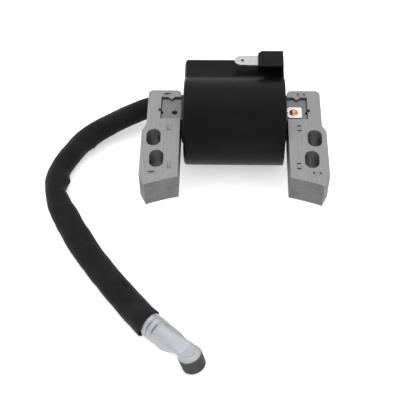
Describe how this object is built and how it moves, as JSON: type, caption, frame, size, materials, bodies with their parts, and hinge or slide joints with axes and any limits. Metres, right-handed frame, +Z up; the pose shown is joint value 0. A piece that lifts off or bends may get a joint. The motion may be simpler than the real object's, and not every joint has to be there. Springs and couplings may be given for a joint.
{
  "type": "small engine ignition coil",
  "caption": "Flywheel ignition coil: potted drum on a laminated U-shaped core with slotted legs, stop tab, sleeved high-tension lead and elbow spark-plug terminal.",
  "frame": {"origin": "centre of the base of the coil without its lead, at the surface it lies on", "axes": "+X along the core bar to the end with the stop tab's tower, +Y from the pole tips to the module bay, +Z up from the surface, square to the laminations"},
  "size_m": [0.1282, 0.1444, 0.0422],
  "materials": {
    "lamination": "punched sheet steel, matt",
    "lamination_bar": "punched sheet steel, darker",
    "housing": "satin black moulding",
    "potting": "black potting resin",
    "bobbin": "black glass-filled moulding",
    "bobbin_pale": "natural moulding",
    "copper": "bare or enamelled copper",
    "tape": "polyester tape",
    "board": "laminate board",
    "tinned_steel": "bright tin plate",
    "plated_terminal": "bright plated stamping",
    "lead_rubber": "smooth black insulation",
    "sleeve": "woven black sleeve",
    "ring_moulding": "ribbed dark grey moulding"
  },
  "bodies": {
    "root": {"leg_stack_left": "lamination", "leg_stack_right": "lamination", "core_bar_stack": "lamination_bar", "coil_housing": "housing", "potting_fill": "potting", "primary_bobbin": "bobbin", "primary_winding": "copper", "primary_wrap": "tape", "secondary_bobbin": "bobbin_pale", "secondary_winding": "copper", "module_board": "board", "module_transistor": "potting", "trigger_coil": "copper", "trigger_core": "lamination_bar", "resistor_one": "bobbin_pale", "resistor_two": "bobbin_pale", "stop_terminal": "tinned_steel", "stop_wire": "copper", "switch_wire": "copper", "ground_wire": "copper", "output_wire": "copper", "ground_tab": "tinned_steel", "ground_rivet": "copper", "lead_seal": "lead_rubber", "ht_contact_pin": "copper", "lead_conductor": "copper", "lead_insulation": "lead_rubber", "lead_sleeve": "sleeve", "terminal_shell": "plated_terminal", "terminal_pin": "tinned_steel", "terminal_clip": "tinned_steel", "insulator_ring": "ring_moulding"}
  },
  "joints": []
}
